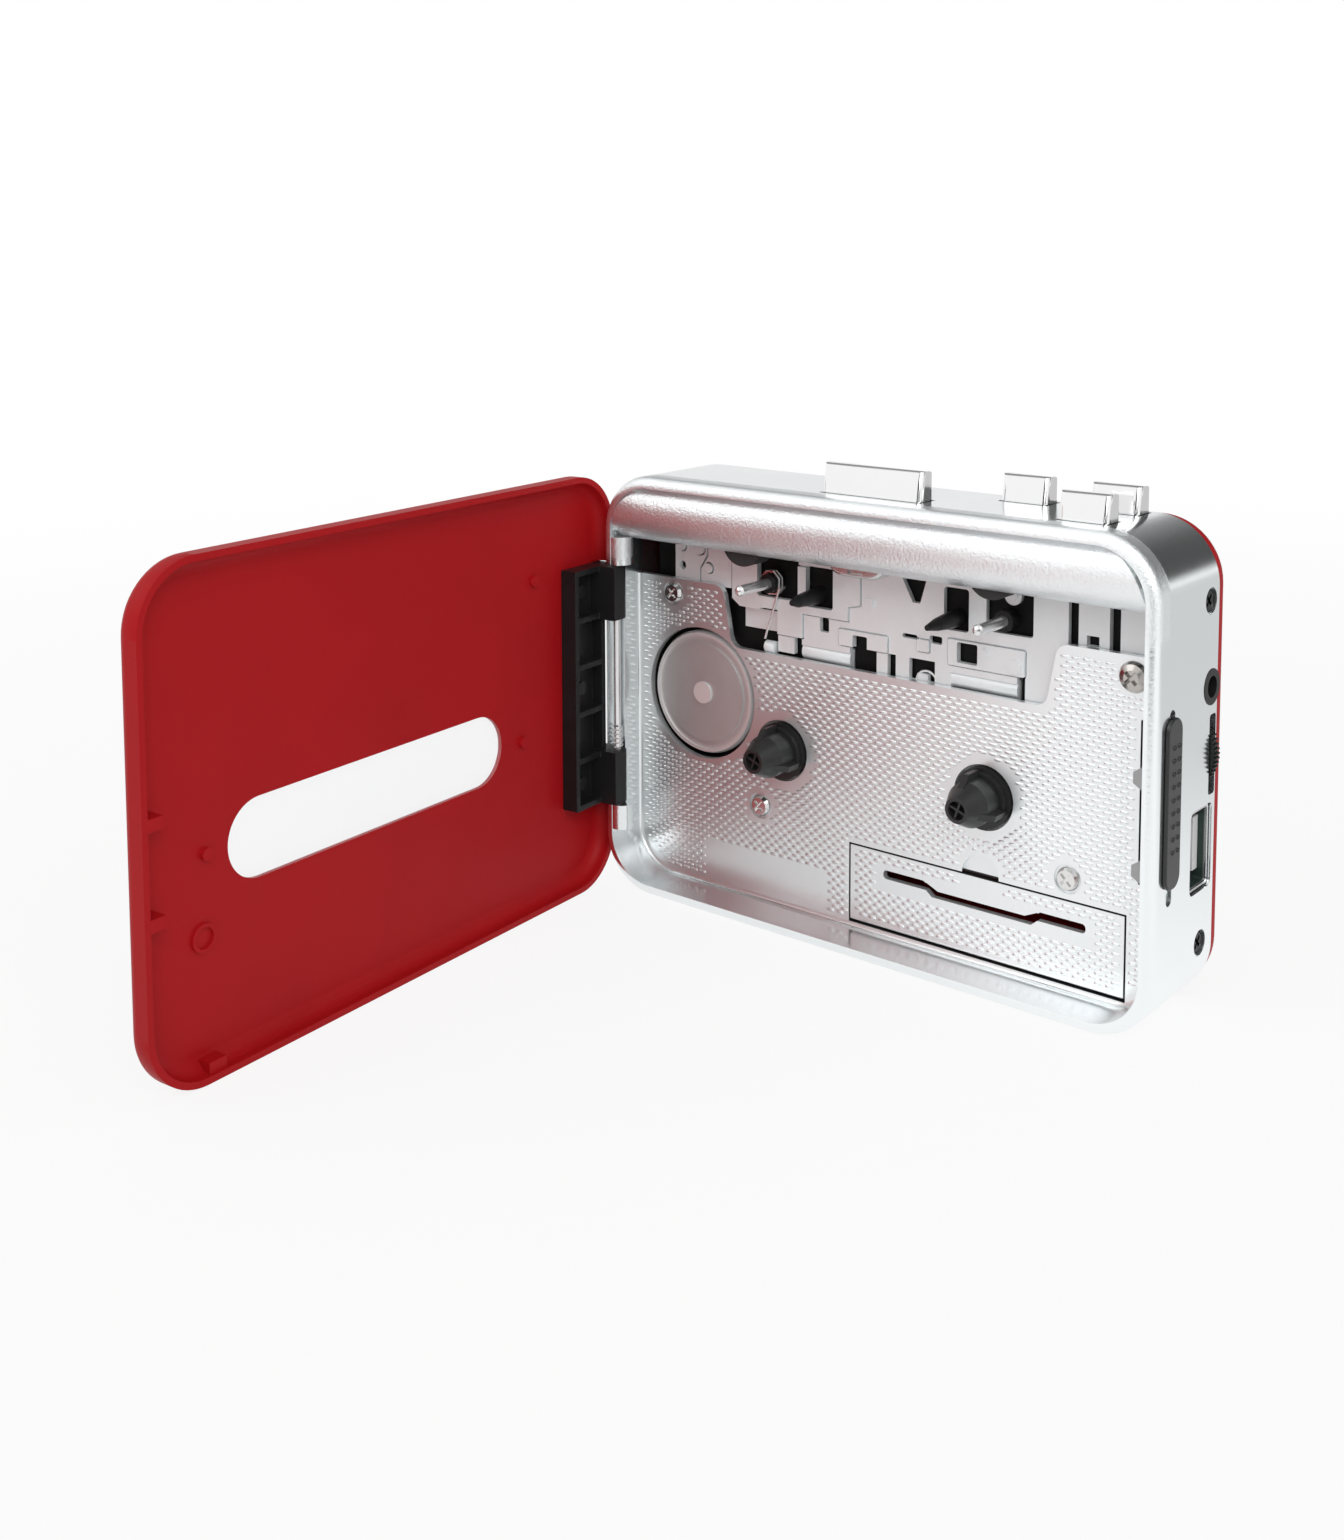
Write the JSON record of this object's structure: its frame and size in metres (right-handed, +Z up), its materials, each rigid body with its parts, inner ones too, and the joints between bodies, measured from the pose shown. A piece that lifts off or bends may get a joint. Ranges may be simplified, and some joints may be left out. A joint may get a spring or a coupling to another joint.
{
  "type": "portable cassette player",
  "caption": "Pocket cassette player with a hinged red door, a silver shell, press keys on top and an exposed tape mechanism in its well.",
  "frame": {"origin": "middle of the flat bottom face that the player stands on", "axes": "+X to the right, -Y out of the front and +Z up"},
  "size_m": [0.12, 0.137, 0.0868],
  "materials": {
    "silver_case": "satin silver paint",
    "red_case": "satin red",
    "clear_pane": "clear",
    "black_plastic": "satin black",
    "grey_plastic": "satin dark grey",
    "dark_chassis": "matt",
    "dark_screws": "blackened",
    "bright_steel": "bright",
    "plate_steel": "plated",
    "screw_steel": "bright",
    "chrome_key": "chromed plastic",
    "head_metal": "polished",
    "motor_steel": "satin",
    "roller_rubber": "matt",
    "drive_brass": "turned",
    "white_plastic": "plain",
    "socket_steel": "bright",
    "green_board": "lacquered"
  },
  "bodies": {
    "case": {"shell_top": "silver_case", "shell_bottom": "silver_case", "shell_left": "silver_case", "shell_right": "silver_case", "well_panel": "silver_case", "rear_cover": "red_case", "hinge_pin": "bright_steel", "battery_contacts": "bright_steel", "mechanism_chassis": "dark_chassis", "side_strips": "plate_steel", "thrust_plate": "plate_steel", "capstan_bushings": "black_plastic", "guide_pins": "black_plastic", "capstan_spring": "bright_steel", "reel_shafts": "bright_steel", "motor_can": "motor_steel", "motor_cap": "motor_steel", "drive_belt": "roller_rubber", "volume_control": "black_plastic", "headphone_jack": "black_plastic", "usb_socket": "socket_steel", "usb_tongue": "white_plastic", "circuit_board": "green_board", "panel_screws": "screw_steel", "dome_screw": "screw_steel", "side_screws": "screw_steel"},
    "door": {"cassette_door": "red_case", "door_window": "clear_pane", "hinge_bracket": "black_plastic", "bracket_screws": "dark_screws", "hinge_spring": "bright_steel"},
    "lid": {"battery_lid": "silver_case"},
    "latch": {"open_slider": "grey_plastic", "latch_plate": "bright_steel"},
    "play": {"play_key": "chrome_key"},
    "stop": {"stop_key": "chrome_key"},
    "forward": {"forward_key": "chrome_key"},
    "rewind": {"rewind_key": "chrome_key"},
    "head": {"head_plate": "plate_steel", "tape_head": "head_metal", "pinch_arms": "plate_steel"},
    "roller_left": {"pinch_roller_left": "roller_rubber"},
    "roller_right": {"pinch_roller_right": "roller_rubber"},
    "reel_left": {"reel_hub_left": "grey_plastic", "reel_gear_left": "white_plastic"},
    "reel_right": {"reel_hub_right": "grey_plastic", "reel_gear_right": "white_plastic"},
    "drive_left": {"capstan_left": "bright_steel", "flywheel_left": "drive_brass"},
    "drive_right": {"capstan_right": "bright_steel", "flywheel_right": "drive_brass"},
    "motor": {"motor_pulley": "drive_brass"},
    "volume": {"volume_wheel": "black_plastic"}
  },
  "joints": [
    {"name": "door_hinge", "type": "hinge", "parent": "case", "child": "door", "pos_m": [-0.055, -0.0115, 0.04], "axis": [0, 0, 1], "range_deg": [0, 85], "stiffness_Nm_per_rad": 0.002, "springref_deg": -17.19},
    {"name": "lid_hinge", "type": "hinge", "parent": "case", "child": "lid", "pos_m": [0.02185, -0.00425, 0.004], "axis": [-1, 0, 0], "range_deg": [-75, 0]},
    {"name": "open_slide", "type": "slide", "parent": "case", "child": "latch", "axis": [0, 0, -1], "range_m": [0, 0.0022], "stiffness_N_per_m": 300, "springref_m": -0.002},
    {"name": "play_press", "type": "slide", "parent": "case", "child": "play", "axis": [0, 0, -1], "range_m": [0, 0.0022], "stiffness_N_per_m": 400, "springref_m": -0.002},
    {"name": "stop_press", "type": "slide", "parent": "case", "child": "stop", "axis": [0, 0, -1], "range_m": [0, 0.0022], "stiffness_N_per_m": 400, "springref_m": -0.002},
    {"name": "forward_press", "type": "slide", "parent": "case", "child": "forward", "axis": [0, 0, -1], "range_m": [0, 0.0022], "stiffness_N_per_m": 400, "springref_m": -0.002},
    {"name": "rewind_press", "type": "slide", "parent": "case", "child": "rewind", "axis": [0, 0, -1], "range_m": [0, 0.0022], "stiffness_N_per_m": 400, "springref_m": -0.002},
    {"name": "head_slide", "type": "slide", "parent": "case", "child": "head", "axis": [0, 0, -1], "range_m": [0, 0.0022]},
    {"name": "roller_left_spin", "type": "hinge", "parent": "head", "child": "roller_left", "pos_m": [-0.0258, -0.0075, 0.071], "axis": [0, 1, 0], "continuous": true},
    {"name": "roller_right_spin", "type": "hinge", "parent": "head", "child": "roller_right", "pos_m": [0.0258, -0.0075, 0.0718], "axis": [0, 1, 0], "continuous": true},
    {"name": "reel_left_spin", "type": "hinge", "parent": "case", "child": "reel_left", "pos_m": [-0.02025, -0.0085, 0.0317], "axis": [0, 1, 0], "continuous": true},
    {"name": "reel_right_spin", "type": "hinge", "parent": "case", "child": "reel_right", "pos_m": [0.02225, -0.0085, 0.0317], "axis": [0, 1, 0], "continuous": true},
    {"name": "drive_right_spin", "type": "hinge", "parent": "case", "child": "drive_right", "pos_m": [0.0256, -0.0015, 0.0627], "axis": [0, 1, 0], "continuous": true},
    {"name": "drive_left_spin", "type": "hinge", "parent": "case", "child": "drive_left", "pos_m": [-0.0236, -0.0015, 0.0627], "axis": [0, 1, 0], "continuous": true},
    {"name": "motor_spin", "type": "hinge", "parent": "case", "child": "motor", "pos_m": [-0.0392, 0.0065, 0.0394], "axis": [0, 1, 0], "continuous": true},
    {"name": "volume_turn", "type": "hinge", "parent": "case", "child": "volume", "pos_m": [0.05, 0.0081, 0.043], "axis": [0, 1, 0], "range_deg": [-140, 140]}
  ],
  "couplings": [
    {"joint": "head_slide", "follows": "play_press", "ratio": 1},
    {"joint": "drive_left_spin", "follows": "drive_right_spin", "ratio": -1},
    {"joint": "motor_spin", "follows": "drive_right_spin", "ratio": 3.5}
  ]
}
